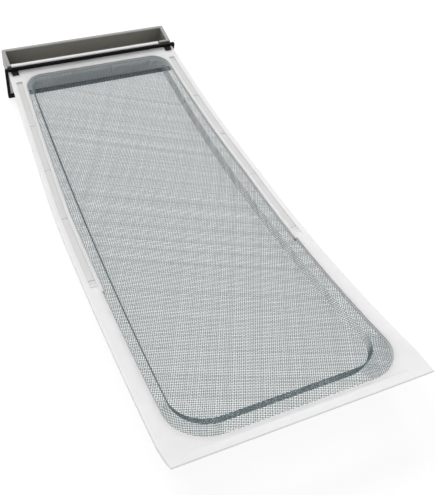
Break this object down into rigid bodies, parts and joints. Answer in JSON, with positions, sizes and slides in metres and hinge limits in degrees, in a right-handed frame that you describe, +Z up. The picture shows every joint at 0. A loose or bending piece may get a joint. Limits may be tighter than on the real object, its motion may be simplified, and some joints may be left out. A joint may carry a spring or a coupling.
{
  "type": "tumble dryer lint filter",
  "caption": "Bowed blade-shaped lint filter: white moulded frame round a recessed woven screen, black seal ring and grey grip with a finger hollow, slid into a tumble dryer's chute.",
  "frame": {"origin": "centre of the part's footprint, on the surface it lies on", "axes": "+X across the blade, +Y along the blade from its leading end to the handle, +Z up, out of the recess"},
  "size_m": [0.203, 0.5264, 0.0455],
  "materials": {
    "frame": "satin white moulded plastic, faintly milky",
    "screen": "woven grey monofilament mesh",
    "seal": "matte black rubber",
    "handle": "fine satin grey moulded plastic"
  },
  "bodies": {
    "root": {"frame": "frame", "screen": "screen", "seal": "seal", "handle": "handle"}
  },
  "joints": []
}
